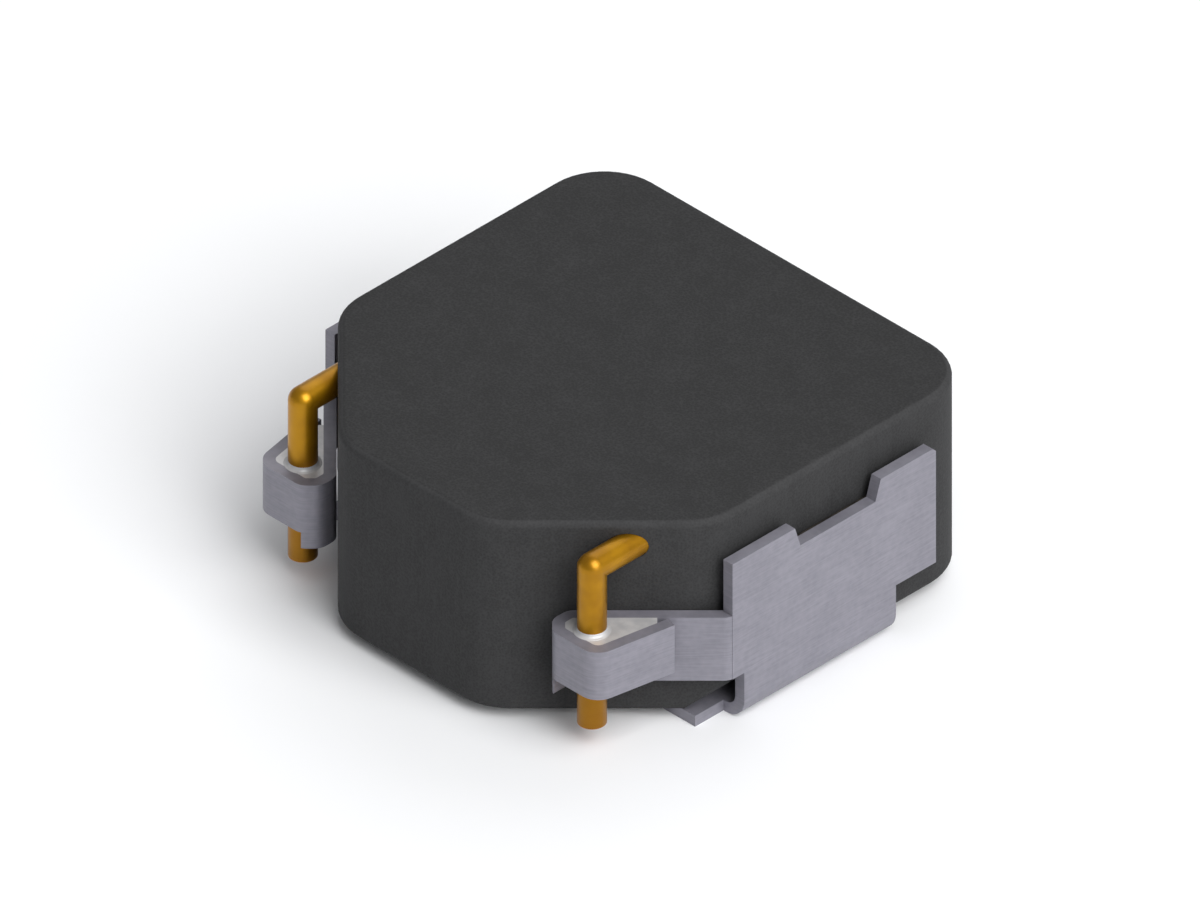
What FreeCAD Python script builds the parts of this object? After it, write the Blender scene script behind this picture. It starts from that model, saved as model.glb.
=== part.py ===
import FreeCAD, Part
import math
import os

os.makedirs("parts", exist_ok=True)

# Shielded power inductor for surface mounting. A block of pressed magnetic composite is moulded around a coil
# of round enamelled wire. Both wire ends leave the block through its two chamfered front corners, turn down
# and are soldered in the clips of two folded sheet terminals, which also form the solder feet.
# Millimetres. X runs from terminal to terminal, Y from the chamfered front to the back, Z up. The origin is
# the centre of the footprint, on the board.

# Block
body_width = 12.3
body_depth = 12.5
body_height = 5.33
chamfer_leg = 3.8
chamfer_blend = 1.6
rear_corner_radius = 1.6
edge_radius = 0.18
foot_bevel = 0.58
foot_bevel_past_leg = 0.2

# Wire, and how far each end stands off its chamfer and forward of the chamfer's middle
wire_diameter = 0.7
lead_stand_off = 0.806
lead_forward = 0.141
lead_drop = 0.67
lead_tip_rise = 0.3
wire_fit = 0.01

# Coil inside the block
layer_pairs = 2
turns_high = 4
turn_gap = 0.06
crossing_gap = 0.15

# Terminal sheet and side plate
sheet_thickness = 0.3
glue_thickness = 0.2
glue_margin = 0.15
glue_corner_radius = 0.4
plate_width = 6.64
plate_step = 0.06
plate_rise = 1.1
plate_drop = 0.98
plate_corner_cut = 0.1
notch_shift = 0.12
notch_top_width = 2.8
notch_bottom_width = 2.45
notch_depth = 0.56

# Leg, bend and foot
leg_width = 4.95
leg_step = 0.385
bend_radius = 0.3
foot_length = 3.35
foot_overhang = 0.93
foot_relief = 0.08

# Arm on the chamfer and clip around the wire
arm_width = 1.78
arm_gap = 0.03
fold_radius = 0.1
clip_inner_reach = 0.95
clip_corner = 0.35
clip_outer_reach = 0.82
nose_radius = 0.2
tongue_step = 0.44
tongue_lean = math.radians(10.5)
clip_slit = 0.05
solder_short = 0.28
solder_film = 0.04

# The block stands on the feet.
body_bottom = sheet_thickness
body_top = body_bottom + body_height
body_side = body_width / 2
body_back = body_depth / 2

# Axis of the right wire end
wire_radius = wire_diameter / 2
turn_pitch = wire_diameter + turn_gap
lead_x = body_side - chamfer_leg / 2 + (lead_stand_off - lead_forward) / math.sqrt(2)
lead_y = chamfer_leg / 2 - body_back - (lead_stand_off + lead_forward) / math.sqrt(2)
lead_height = body_top - lead_drop
lead_tip_height = body_bottom + lead_tip_rise

# The two faces of the side plate, and the lines x - y of the arm's two faces, seen from above
plate_inside = body_side + glue_thickness
plate_outside = plate_inside + sheet_thickness
chamfer_line = body_side + body_back - chamfer_leg
arm_back_line = chamfer_line + arm_gap * math.sqrt(2)
arm_front_line = arm_back_line + sheet_thickness * math.sqrt(2)

# Ends and edges of the plate, leg, arm and tongue. The plate starts a step behind its fold into the arm.
plate_front = plate_outside - arm_front_line + plate_step
plate_back = plate_front + plate_width
plate_middle = (plate_front + plate_back) / 2
plate_bottom = body_bottom + plate_rise
plate_top = body_top - plate_drop
leg_front = plate_front + leg_step
leg_back = leg_front + leg_width
arm_top = plate_bottom + arm_width
tongue_bottom = plate_bottom + tongue_step


def from_above(height):
    """Places the points of a plan at one height."""
    return lambda x, y: FreeCAD.Vector(x, y, height)


def from_the_side(x):
    """Places the points of a side elevation, y and z, at one x."""
    return lambda y, z: FreeCAD.Vector(x, y, z)


def from_the_front(y):
    """Places the points of a front elevation, x and z, at one y."""
    return lambda x, z: FreeCAD.Vector(x, y, z)


def flat_face(corners, place):
    """Face inside an outline. Each corner is two coordinates and the radius that rounds it, 0 where sharp."""
    points = [place(a, b) for a, b, radius in corners]
    rounds = []
    for i, (a, b, radius) in enumerate(corners):
        before = (points[i] - points[i - 1]).normalize()
        after = (points[(i + 1) % len(points)] - points[i]).normalize()
        half_turn = before.getAngle(after) / 2
        reach = radius * math.tan(half_turn)
        start = points[i] - before * reach
        end = points[i] + after * reach
        inward = (after - before).normalize()
        middle = points[i] + inward * radius * (1 / math.cos(half_turn) - 1)
        rounds.append((start, middle, end, radius))
    edges = []
    for i, (start, middle, end, radius) in enumerate(rounds):
        last_end = rounds[i - 1][2]
        if start.distanceToPoint(last_end) > 1e-6:
            edges.append(Part.makeLine(last_end, start))
        if radius > 0:
            edges.append(Part.Arc(start, middle, end).toShape())
    return Part.Face(Part.Wire(edges))


def crossing(p, p_way, q, q_way):
    """Point where the line through p meets the line through q, each with its direction."""
    turn = p_way[0] * q_way[1] - p_way[1] * q_way[0]
    along = ((q[0] - p[0]) * q_way[1] - (q[1] - p[1]) * q_way[0]) / turn
    return p[0] + along * p_way[0], p[1] + along * p_way[1]


def left_side(path, distance):
    """The path moved to its left by a distance, with its corners where the moved lines cross."""
    ways = []
    for p, q in zip(path, path[1:]):
        length = math.hypot(q[0] - p[0], q[1] - p[1])
        ways.append(((q[0] - p[0]) / length, (q[1] - p[1]) / length))
    moved = [(p[0] - w[1] * distance, p[1] + w[0] * distance) for p, w in zip(path, ways)]
    corners = [moved[0]]
    for i in range(1, len(ways)):
        corners.append(crossing(moved[i - 1], ways[i - 1], moved[i], ways[i]))
    last = ways[-1]
    corners.append((path[-1][0] - last[1] * distance, path[-1][1] + last[0] * distance))
    return corners


# The wire's path. Inside the block every half turn is a half circle between two points on the plane y = 0:
# the rear halves slope from one level to the next, and the front halves are level or step to the next layer.
layers = 2 * layer_pairs
layer_radii = [lead_x - i * turn_pitch for i in range(layers)]
top_level = lead_height - wire_diameter - crossing_gap
levels = [top_level - (turns_high - 1 - i) * turn_pitch for i in range(turns_high)]


def coil_stops():
    """Every point where the wire crosses y = 0, in order: down the outer layer, up the next, and so on."""
    stops = [(lead_x, lead_height)]
    for i, radius in enumerate(layer_radii):
        ladder = levels[::-1] if i % 2 == 0 else list(levels)
        if i > 0:
            stops[-1] = (radius, ladder[0])
            ladder = ladder[1:]
        if i == layers - 1:
            ladder = ladder + [lead_height]
        for height in ladder:
            stops += [(-radius, height), (radius, height)]
    # The inner end crosses over the coil and widens until it leaves along the other side.
    stops[-1] = (lead_x - 2 * turn_pitch, lead_height)
    stops.append((-lead_x, lead_height))
    return stops


def half_circle(start, end, side):
    """Half circle from one stop to the next, behind the plane y = 0 for side 1 and before it for side -1."""
    p = FreeCAD.Vector(start[0], 0, start[1])
    q = FreeCAD.Vector(end[0], 0, end[1])
    crown = (p + q) * 0.5 + FreeCAD.Vector(0, side * p.distanceToPoint(q) / 2, 0)
    return Part.Arc(p, crown, q).toShape()


def level_path():
    """The wire's line from the right bend through the coil to the left bend."""
    stops = coil_stops()
    bends = [FreeCAD.Vector(x, lead_y, lead_height) for x in (lead_x, -lead_x)]
    edges = [Part.makeLine(bends[0], FreeCAD.Vector(lead_x, 0, lead_height))]
    for i in range(len(stops) - 1):
        edges.append(half_circle(stops[i], stops[i + 1], 1 if i % 2 == 0 else -1))
    edges.append(Part.makeLine(FreeCAD.Vector(-lead_x, 0, lead_height), bends[1]))
    return Part.Wire(edges)


def round_tube(path, radius):
    """Round bar along a path that starts along Y."""
    section = Part.Wire(Part.makeCircle(radius, path.Edges[0].Vertexes[0].Point, FreeCAD.Vector(0, 1, 0)))
    return path.makePipeShell([section], True, False)


def upright_end(x):
    """One wire end below its bend, with the ball that rounds the outside of the bend."""
    tip = FreeCAD.Vector(x, lead_y, lead_tip_height)
    bend = FreeCAD.Vector(x, lead_y, lead_height)
    end = Part.makeCylinder(wire_radius, lead_height - lead_tip_height, tip)
    return end.fuse(Part.makeSphere(wire_radius, bend))


path = level_path()
wire_hole = round_tube(path, wire_radius + wire_fit)
winding = round_tube(path, wire_radius).fuse([upright_end(lead_x), upright_end(-lead_x)])


# The block: six-sided in plan, with rounded corners, and filled with composite right up to the wire.
def magnetic_body():
    plan = [
        (-body_side, chamfer_leg - body_back, chamfer_blend),
        (chamfer_leg - body_side, -body_back, chamfer_blend),
        (body_side - chamfer_leg, -body_back, chamfer_blend),
        (body_side, chamfer_leg - body_back, chamfer_blend),
        (body_side, body_back, rear_corner_radius),
        (-body_side, body_back, rear_corner_radius),
    ]
    block = flat_face(plan, from_above(body_bottom)).extrude(FreeCAD.Vector(0, 0, body_height))
    rims = [e for e in block.Edges if abs(e.Vertexes[0].Z - e.Vertexes[-1].Z) < 1e-6]
    block = block.makeFillet(edge_radius, rims)
    # The bottom edge over each foot is bevelled, from the chamfer to just behind the leg, to clear the bend.
    beneath = [
        (body_side - foot_bevel - body_bottom, 0, 0),
        (body_side + body_bottom, 0, 0),
        (body_side + body_bottom, foot_bevel + 2 * body_bottom, 0),
    ]
    bevel_length = FreeCAD.Vector(0, body_back + leg_back + foot_bevel_past_leg, 0)
    bevel = flat_face(beneath, from_the_front(-body_back)).extrude(bevel_length)
    left_bevel = bevel.mirror(FreeCAD.Vector(0, 0, 0), FreeCAD.Vector(1, 0, 0))
    return block.cut([bevel, left_bevel, wire_hole])


# The strip of the right terminal from the plate to the clip's tip, seen from above. Its right side is the
# side towards the body, which becomes the outside of the clip. Each point has the inside radius of its fold.
clip_left = lead_x - clip_inner_reach
clip_front = lead_y - wire_radius - wire_fit - solder_film - sheet_thickness
clip_right = lead_x + clip_outer_reach
tongue_way = (math.sin(tongue_lean), math.cos(tongue_lean))
strip = [
    (plate_inside, plate_middle),
    (plate_inside, plate_inside - arm_back_line),
    (clip_left, clip_left - arm_back_line),
    (clip_left, clip_front + clip_corner),
    (clip_left + clip_corner, clip_front),
    (clip_right, clip_front),
    (clip_right + tongue_way[0], clip_front + tongue_way[1]),
]
strip_folds = [0, fold_radius, fold_radius, fold_radius, fold_radius, nose_radius, 0]
strip_inside = left_side(strip, sheet_thickness)

# The tongue is cut off square, where its inner corner comes within a slit of the arm.
slit_line = arm_front_line + clip_slit * math.sqrt(2)
tongue_end = crossing(strip_inside[-2], tongue_way, (slit_line, 0), (1, 1))
strip_inside[-1] = tongue_end
strip[-1] = (tongue_end[0] + tongue_way[1] * sheet_thickness, tongue_end[1] - tongue_way[0] * sheet_thickness)


def clip_strip():
    """Arm and clip, with the lower edge of the tongue cut back above the arm's lower edge."""
    # Only the first fold, at the plate, turns to the right, so its inside is on the strip's right.
    outer = [r + sheet_thickness if i > 1 and r > 0 else r for i, r in enumerate(strip_folds)]
    inner = [r + sheet_thickness if i == 1 else r for i, r in enumerate(strip_folds)]
    corners = [(x, y, r) for (x, y), r in zip(strip, outer)]
    corners += [(x, y, r) for (x, y), r in zip(strip_inside, inner)][::-1]
    band = flat_face(corners, from_above(plate_bottom)).extrude(FreeCAD.Vector(0, 0, arm_top - plate_bottom))
    step_x = strip[4][0]
    step_line = (arm_front_line + slit_line) / 2
    beneath = [
        (step_x, step_x - step_line, 0),
        (step_x, 2 * clip_front, 0),
        (body_width, 2 * clip_front, 0),
        (body_width, body_width - step_line, 0),
    ]
    low = tongue_bottom - plate_bottom
    return band.cut(flat_face(beneath, from_above(plate_bottom)).extrude(FreeCAD.Vector(0, 0, low)))


def side_plate():
    """Plate with its trapezoid notch and one cut corner, and the leg below it down to the bend."""
    notch_middle = plate_middle + notch_shift
    notch_floor = plate_top - notch_depth
    bend_top = sheet_thickness + bend_radius
    profile = [
        (leg_front, bend_top),
        (leg_back, bend_top),
        (leg_back, plate_bottom),
        (plate_back, plate_bottom),
        (plate_back, plate_top - plate_corner_cut),
        (plate_back - plate_corner_cut, plate_top),
        (notch_middle + notch_top_width / 2, plate_top),
        (notch_middle + notch_bottom_width / 2, notch_floor),
        (notch_middle - notch_bottom_width / 2, notch_floor),
        (notch_middle - notch_top_width / 2, plate_top),
        (plate_front, plate_top),
        (plate_front, plate_bottom),
        (leg_front, plate_bottom),
    ]
    face = flat_face([(y, z, 0) for y, z in profile], from_the_side(plate_inside))
    return face.extrude(FreeCAD.Vector(sheet_thickness, 0, 0))


def bent_foot():
    """Bend under the body and foot, wider than the leg towards the front."""
    foot_end = plate_outside - foot_length
    outer_radius = bend_radius + sheet_thickness
    top = sheet_thickness + bend_radius
    profile = [
        (plate_inside, top, 0),
        (plate_inside, sheet_thickness, bend_radius),
        (foot_end, sheet_thickness, 0),
        (foot_end, 0, 0),
        (plate_outside, 0, outer_radius),
        (plate_outside, top, 0),
    ]
    bend = flat_face(profile, from_the_front(leg_front)).extrude(FreeCAD.Vector(0, leg_width, 0))
    side_length = plate_outside - outer_radius - foot_relief - foot_end
    corner = FreeCAD.Vector(foot_end, leg_front - foot_overhang, 0)
    return bend.fuse(Part.makeBox(side_length, foot_overhang, sheet_thickness, corner))


def terminal():
    """The right terminal, one folded piece of tinned sheet."""
    return side_plate().fuse([bent_foot(), clip_strip()]).removeSplitter()


# Solder fills the clip around the wire, from the tongue's lower edge to the clip's top, and ends short of the
# tongue's end.
def solder_fill():
    edge = (tongue_end[0] - tongue_way[0] * solder_short, tongue_end[1] - tongue_way[1] * solder_short)
    arm_foot = crossing(edge, (-1, 1), (arm_front_line, 0), (1, 1))
    corners = [(x, y, r) for (x, y), r in zip(strip_inside[2:-1], strip_folds[2:-1])]
    corners += [(edge[0], edge[1], 0), (arm_foot[0], arm_foot[1], 0)]
    height = FreeCAD.Vector(0, 0, arm_top - tongue_bottom)
    bore = Part.makeCylinder(wire_radius + wire_fit, arm_top, FreeCAD.Vector(lead_x, lead_y, 0))
    return flat_face(corners, from_above(tongue_bottom)).extrude(height).cut(bore)


# A film of glue fills the gap between the body's flat side and the plate, short of the plate's edges.
def glue_film():
    flat_front = chamfer_leg - body_back + chamfer_blend * math.tan(math.pi / 8)
    front = max(flat_front, plate_front) + glue_margin
    back = plate_back - glue_margin
    low = plate_bottom + glue_margin
    high = plate_top - notch_depth - glue_margin
    corners = [(front, low), (back, low), (back, high), (front, high)]
    face = flat_face([(y, z, glue_corner_radius) for y, z in corners], from_the_side(body_side))
    return face.extrude(FreeCAD.Vector(glue_thickness, 0, 0))


def save(name, shape):
    """Writes one piece to its own file."""
    solid = shape.Solids[0] if len(shape.Solids) == 1 else shape
    solid.exportStep("parts/" + name + ".step")
    print(name, "valid" if solid.isValid() else "NOT VALID", len(shape.Solids), round(solid.Volume, 3))


save("body", magnetic_body())
save("winding", winding)
for name, piece in (("terminal", terminal()), ("solder", solder_fill()), ("adhesive", glue_film())):
    save(name + "_right", piece)
    save(name + "_left", piece.mirror(FreeCAD.Vector(0, 0, 0), FreeCAD.Vector(1, 0, 0)))
print("wire length", round(path.Length, 2))
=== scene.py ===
"""A shielded power inductor for surface mounting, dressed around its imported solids."""

import math

import bmesh
import bpy
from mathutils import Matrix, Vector


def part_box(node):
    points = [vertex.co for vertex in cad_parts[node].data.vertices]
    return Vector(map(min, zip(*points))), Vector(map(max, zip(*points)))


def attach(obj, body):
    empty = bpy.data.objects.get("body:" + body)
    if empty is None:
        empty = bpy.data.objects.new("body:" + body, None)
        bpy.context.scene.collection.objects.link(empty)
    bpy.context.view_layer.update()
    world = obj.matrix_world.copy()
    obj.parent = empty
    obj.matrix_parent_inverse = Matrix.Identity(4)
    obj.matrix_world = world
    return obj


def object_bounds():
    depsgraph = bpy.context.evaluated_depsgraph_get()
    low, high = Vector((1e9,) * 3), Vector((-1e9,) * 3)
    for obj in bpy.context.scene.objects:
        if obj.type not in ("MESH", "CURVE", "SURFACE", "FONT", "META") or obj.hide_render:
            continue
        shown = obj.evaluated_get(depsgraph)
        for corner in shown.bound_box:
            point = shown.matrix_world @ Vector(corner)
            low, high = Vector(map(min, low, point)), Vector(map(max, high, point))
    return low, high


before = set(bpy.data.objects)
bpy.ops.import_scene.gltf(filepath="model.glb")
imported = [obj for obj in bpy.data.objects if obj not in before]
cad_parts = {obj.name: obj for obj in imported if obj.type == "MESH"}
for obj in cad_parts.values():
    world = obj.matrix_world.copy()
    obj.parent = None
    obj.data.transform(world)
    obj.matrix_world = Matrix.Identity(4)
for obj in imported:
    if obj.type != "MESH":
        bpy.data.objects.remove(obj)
cad_low, cad_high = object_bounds()

mm = 0.001


# Winding. One round copper wire with baked amber enamel. Both ends come out of the block, turn down and pass
# through a clip. The enamel is darker where it was heated for soldering, and the cut tips show bare copper.

class Value:
    """The output of a shader node. Arithmetic on values adds Math nodes."""

    def __init__(self, tree, socket=None):
        self.tree = tree
        self.socket = socket

    def node(self, kind, settings=None, sockets=None, output=0):
        """Adds a node: its settings first, then the values or links of its sockets."""
        made = self.tree.nodes.new(kind)
        for name, setting in (settings or {}).items():
            setattr(made, name, setting)
        for name, value in (sockets or {}).items():
            if isinstance(value, Value):
                self.tree.links.new(value.socket, made.inputs[name])
            else:
                made.inputs[name].default_value = value
        return Value(self.tree, made.outputs[output])

    def math(self, operation, *values):
        return self.node("ShaderNodeMath", {"operation": operation}, dict(enumerate(values)))

    def __add__(self, other):
        return self.math("ADD", self, other)

    __radd__ = __add__

    def __sub__(self, other):
        return self.math("SUBTRACT", self, other)

    def __rsub__(self, other):
        return self.math("SUBTRACT", other, self)

    def __mul__(self, other):
        return self.math("MULTIPLY", self, other)

    __rmul__ = __mul__

    def __abs__(self):
        return self.math("ABSOLUTE", self)

    def ramp(self, start, end):
        """0 where the value is at start, 1 where it is at end, and smooth between them."""
        return self.node(
            "ShaderNodeMapRange",
            {"interpolation_type": "SMOOTHSTEP"},
            {"Value": self, "From Min": start, "From Max": end},
        )

    def between(self, first, second):
        """The first colour where the value is 0, the second where it is 1."""
        return self.node(
            "ShaderNodeMix",
            {"data_type": "RGBA"},
            {0: self, 6: first, 7: second},
            output=2,
        )


def new_finish(name):
    """A new material, a value to start its nodes from, and its shader node."""
    material = bpy.data.materials.new(name)
    material.use_nodes = True
    tree = material.node_tree
    return material, Value(tree), tree.nodes["Principled BSDF"]


def object_place(start):
    """The place of a point of the surface, in metres."""
    return start.node("ShaderNodeTexCoord", output="Object")


def upright_part(vector):
    """The Z part of a vector."""
    return vector.node("ShaderNodeSeparateXYZ", sockets={"Vector": vector}, output=2)


def speckle(place, size, stretch=(1, 1, 1), detail=2.0):
    """Noise from 0 to 1, with grains about this many metres wide, drawn out along the axes by stretch."""
    scale = tuple(1 / s for s in stretch)
    drawn = place.node("ShaderNodeVectorMath", {"operation": "MULTIPLY"}, {0: place, 1: scale})
    return place.node(
        "ShaderNodeTexNoise",
        sockets={"Vector": drawn, "Scale": 1 / size, "Detail": detail},
        output="Fac",
    )


def shape_finish(start, shader, color, roughness, height, depth):
    """Feeds the shader's colour and roughness, and its normal from heights of this depth in metres."""
    links = start.tree.links
    links.new(color.socket, shader.inputs["Base Color"])
    links.new(roughness.socket, shader.inputs["Roughness"])
    bump = start.node("ShaderNodeBump", sockets={"Height": height, "Strength": 1.0, "Distance": depth})
    links.new(bump.socket, shader.inputs["Normal"])


def dress(node, material):
    """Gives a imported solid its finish."""
    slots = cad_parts[node].data.materials
    slots.clear()
    slots.append(material)


solder_low, solder_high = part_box("solder_right")
wire_tip_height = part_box("winding")[0].z

heated_length = 0.45 * mm
tip_skin = 0.012 * mm
cloud_size = 0.7 * mm
ripple_size = 0.25 * mm
ripple_depth = 0.003 * mm

enamel, start, shader = new_finish("amber_enamelled_copper")
place = object_place(start)
z = upright_part(place)
clouds = speckle(place, cloud_size)
heated_above = 1 - z.ramp(solder_high.z, solder_high.z + heated_length)
amber = clouds.ramp(0.3, 0.7).between((0.35, 0.16, 0.002, 1), (0.45, 0.22, 0.003, 1))
browned = (heated_above * 0.45).between(amber, (0.20, 0.07, 0.003, 1))
bare = 1 - z.ramp(wire_tip_height, wire_tip_height + tip_skin)
color = bare.between(browned, (0.62, 0.27, 0.15, 1))
ripple = speckle(place, ripple_size)
shape_finish(start, shader, color, 0.36 + 0.12 * ripple, ripple, ripple_depth)
shader.inputs["Metallic"].default_value = 0.8
shader.inputs["Coat Weight"].default_value = 0.15
shader.inputs["Coat Roughness"].default_value = 0.15
dress("winding", enamel)


# Body. Iron powder composite, pressed around the coil in a die. Grains show on every face, the die has drawn
# faint upright streaks on the sides, and a painted highlight makes the rim of the top a little lighter.

body_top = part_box("body")[1].z

grain_size = 0.06 * mm
grain_depth = 0.003 * mm
fine_size = 0.03 * mm
mottle_size = 0.8 * mm
streak_size = 0.1 * mm
streak_length = 14
rim_height = 0.2 * mm
flat_top = 0.02 * mm

composite, start, shader = new_finish("pressed_magnetic_composite")
place = object_place(start)
z = upright_part(place)
grains = start.node(
    "ShaderNodeTexVoronoi",
    {"feature": "F1"},
    {"Vector": place, "Scale": 1 / grain_size},
    output="Distance",
)
mottle = speckle(place, mottle_size, detail=3.0)
fine = speckle(place, fine_size)
streaks = speckle(place, streak_size, stretch=(1, 1, streak_length))
facing = start.node("ShaderNodeTexCoord", output="Normal")
upward = upright_part(facing)
sideways = 1 - abs(upward).ramp(0.2, 0.6)
near_top = z.ramp(body_top - rim_height, body_top - flat_top)
# Painted highlight: the rounded rim just under the top face is painted lighter, where an edge catches the
# light.
painted_rim_highlight = near_top * (1 - upward.ramp(0.9, 0.995))
shade = 0.35 * grains + 0.4 * mottle + 0.15 * fine + 0.2 * streaks * sideways
color = shade.ramp(0.25, 0.75).between(
    (0.0255, 0.0255, 0.0260, 1),
    (0.0405, 0.0405, 0.0415, 1),
)
color = (painted_rim_highlight * 0.18).between(color, (0.09, 0.09, 0.093, 1))
height = grains + 0.6 * fine + 0.6 * streaks * sideways
shape_finish(start, shader, color, 0.6 + 0.16 * mottle, height, grain_depth)
shader.inputs["Specular IOR Level"].default_value = 0.15
dress("body", composite)


# Adhesive. A film of dark epoxy between each side plate and the block, cured as it was squeezed out.

lump_size = 0.35 * mm
lump_depth = 0.02 * mm

epoxy, start, shader = new_finish("cured_dark_epoxy")
lumps = speckle(object_place(start), lump_size)
color = lumps.ramp(0.3, 0.7).between((0.02, 0.017, 0.014, 1), (0.05, 0.042, 0.034, 1))
shape_finish(start, shader, color, 0.25 + 0.15 * lumps, lumps, lump_depth)
for side in ("right", "left"):
    dress("adhesive_" + side, epoxy)


# Terminals. Copper alloy strip, tinned, blanked and folded: side plate, leg and foot, and the arm whose end
# wraps the wire. Rolling has left fine lines along the strip, and the tin is a little cloudy.

line_size = 0.035 * mm
line_length = 22
line_depth = 0.003 * mm
bloom_size = 1.1 * mm
crystal_size = 0.16 * mm

tin, start, shader = new_finish("tinned_rolled_strip")
place = object_place(start)
lines = speckle(place, line_size, stretch=(line_length, line_length, 1), detail=3.0)
bloom = speckle(place, bloom_size, detail=3.0)
crystals = start.node(
    "ShaderNodeTexVoronoi",
    {"feature": "F1"},
    {"Vector": place, "Scale": 1 / crystal_size},
    output="Distance",
)
shade = 0.5 * lines + 0.4 * bloom + 0.15 * crystals
color = shade.ramp(0.25, 0.8).between((0.188, 0.184, 0.216, 1), (0.263, 0.256, 0.296, 1))
shape_finish(start, shader, color, 0.42 + 0.16 * bloom, lines + 0.3 * crystals, line_depth)
shader.inputs["Metallic"].default_value = 0.3
for side in ("right", "left"):
    dress("terminal_" + side, tin)


# Solder. Tin solder fills each clip around the wire. It has wetted the wire, so it climbs a little way up it
# above the clip and down it below, in a small hollow fillet.

fillet_radius = 0.1 * mm
fillet_steps = 6
weld_distance = 1e-7
round_steps = 48
fillet_root = 0.015 * mm
swirl_size = 0.3 * mm
swirl_depth = 0.012 * mm

solder, start, shader = new_finish("tin_solder")
swirl = speckle(object_place(start), swirl_size, detail=3.0)
color = swirl.ramp(0.3, 0.7).between((0.50, 0.50, 0.51, 1), (0.62, 0.61, 0.61, 1))
shape_finish(start, shader, color, 0.34 + 0.18 * swirl, swirl, swirl_depth)
shader.inputs["Metallic"].default_value = 0.3
for side in ("right", "left"):
    dress("solder_" + side, solder)


# Both wire ends are upright. The rim of the right one's tip gives its axis and radius.
wire_points = [v.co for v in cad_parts["winding"].data.vertices]
rim = [co for co in wire_points if co.x > 0 and co.z < wire_tip_height + tip_skin]
rim_x = [co.x for co in rim]
rim_y = [co.y for co in rim]
wire_radius = (max(rim_x) - min(rim_x)) / 2
lead_x = (max(rim_x) + min(rim_x)) / 2
lead_y = (max(rim_y) + min(rim_y)) / 2


def solder_fillet(name, axis, heights):
    """Hollow fillets around one wire end, one on the clip's top and one under it, as one mesh.

    Each has its root a little inside the wire and the solder.
    """
    mesh = bmesh.new()
    for height, way in heights:
        foot = mesh.verts.new((axis.x + wire_radius + fillet_radius, axis.y, height))
        centre = Vector((foot.co.x, axis.y, height + way * fillet_radius))
        arc = bmesh.ops.spin(
            mesh,
            geom=[foot],
            cent=centre,
            axis=(0, 1, 0),
            angle=way * math.pi / 2,
            steps=fillet_steps,
            use_duplicate=False,
        )
        crown = arc["geom_last"][0]
        root_x = axis.x + wire_radius - fillet_root
        root_z = height - way * fillet_root
        inner_high = mesh.verts.new((root_x, axis.y, crown.co.z))
        inner_low = mesh.verts.new((root_x, axis.y, root_z))
        outer_low = mesh.verts.new((foot.co.x, axis.y, root_z))
        corners = [crown, inner_high, inner_low, outer_low, foot]
        for pair in zip(corners, corners[1:]):
            mesh.edges.new(pair)
        outline = [e for e in mesh.edges if not e.link_faces]
        bmesh.ops.spin(
            mesh,
            geom=outline,
            cent=axis,
            axis=(0, 0, 1),
            angle=2 * math.pi,
            steps=round_steps,
            use_merge=True,
            use_duplicate=False,
        )
    bmesh.ops.remove_doubles(mesh, verts=mesh.verts, dist=weld_distance)
    bmesh.ops.recalc_face_normals(mesh, faces=mesh.faces)
    data = bpy.data.meshes.new(name)
    mesh.to_mesh(data)
    mesh.free()
    data.polygons.foreach_set("use_smooth", [True] * len(data.polygons))
    data.materials.append(solder)
    piece = bpy.data.objects.new(name, data)
    bpy.context.scene.collection.objects.link(piece)
    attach(piece, "root")


ends = ((solder_high.z, 1), (solder_low.z, -1))
solder_fillet("solder_fillets_right", Vector((lead_x, lead_y, 0)), ends)
solder_fillet("solder_fillets_left", Vector((-lead_x, lead_y, 0)), ends)


# Floor, light and camera. A plain pale table under soft studio light, seen from the front right corner.

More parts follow.
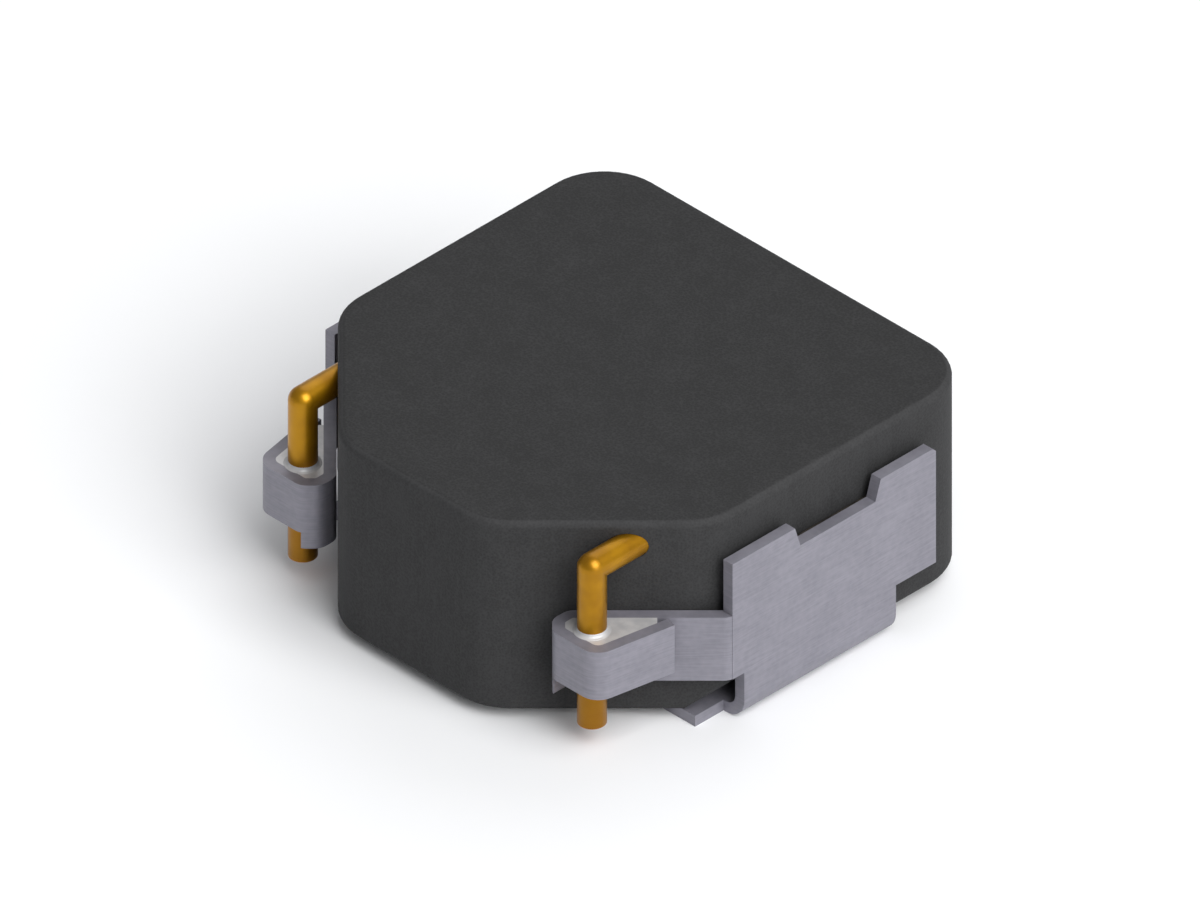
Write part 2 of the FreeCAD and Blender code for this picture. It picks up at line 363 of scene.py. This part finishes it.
floor_reach = 1.2
floor_mesh = bmesh.new()
bmesh.ops.create_grid(floor_mesh, x_segments=1, y_segments=1, size=floor_reach)
data = bpy.data.meshes.new("floor")
floor_mesh.to_mesh(data)
floor_mesh.free()
floor = bpy.data.objects.new("floor", data)
bpy.context.scene.collection.objects.link(floor)
paper, start, shader = new_finish("pale_floor")
shader.inputs["Base Color"].default_value = (0.905, 0.91, 0.92, 1)
shader.inputs["Roughness"].default_value = 0.9
shader.inputs["Specular IOR Level"].default_value = 0.0
floor.data.materials.append(paper)

scene = bpy.context.scene
scene.view_settings.view_transform = "Standard"
world = bpy.data.worlds.new("studio")
world.use_nodes = True
sky = world.node_tree.nodes["Background"]
sky.inputs["Color"].default_value = (0.97, 0.98, 1.0, 1)
sky.inputs["Strength"].default_value = 0.30
scene.world = world

aim = (cad_low + cad_high) / 2


def soft_box(name, way, distance, size, power):
    """A square area light that faces the part from the given way."""
    light = bpy.data.lights.new(name, "AREA")
    light.shape = "SQUARE"
    light.size = size
    light.energy = power
    lamp = bpy.data.objects.new(name, light)
    away = Vector(way).normalized()
    lamp.location = aim + away * distance
    lamp.rotation_mode = "QUATERNION"
    lamp.rotation_quaternion = away.to_track_quat("Z", "Y")
    scene.collection.objects.link(lamp)


soft_box("key_light", (1.0, -0.15, 1.2), distance=1.0, size=0.8, power=10.0)
soft_box("side_light", (1.0, -0.12, 0.45), distance=0.8, size=0.5, power=1.8)
soft_box("back_light", (-0.6, 1.0, 1.1), distance=0.6, size=0.5, power=0.9)

# The photograph is an isometric view. Its scale and the place of the part's middle were measured on it.
photo_width = 1200
photo_pixels_per_mm = 43.307
middle_height = 3.39 * mm
middle_right_of_centre = 1.15
camera_distance = 0.15

back = Vector((1, -1, 1)).normalized()
right = Vector((1, 1, 0)).normalized()
pixel = mm / photo_pixels_per_mm
centre = Vector((0, 0, middle_height)) - right * (middle_right_of_centre * pixel)
camera = bpy.data.cameras.new("camera")
camera.type = "ORTHO"
camera.ortho_scale = photo_width * pixel
camera.clip_start = 0.001
camera.clip_end = 10
eye = bpy.data.objects.new("camera", camera)
eye.location = centre + back * camera_distance
eye.rotation_mode = "QUATERNION"
eye.rotation_quaternion = back.to_track_quat("Z", "Y")
scene.collection.objects.link(eye)
scene.camera = eye
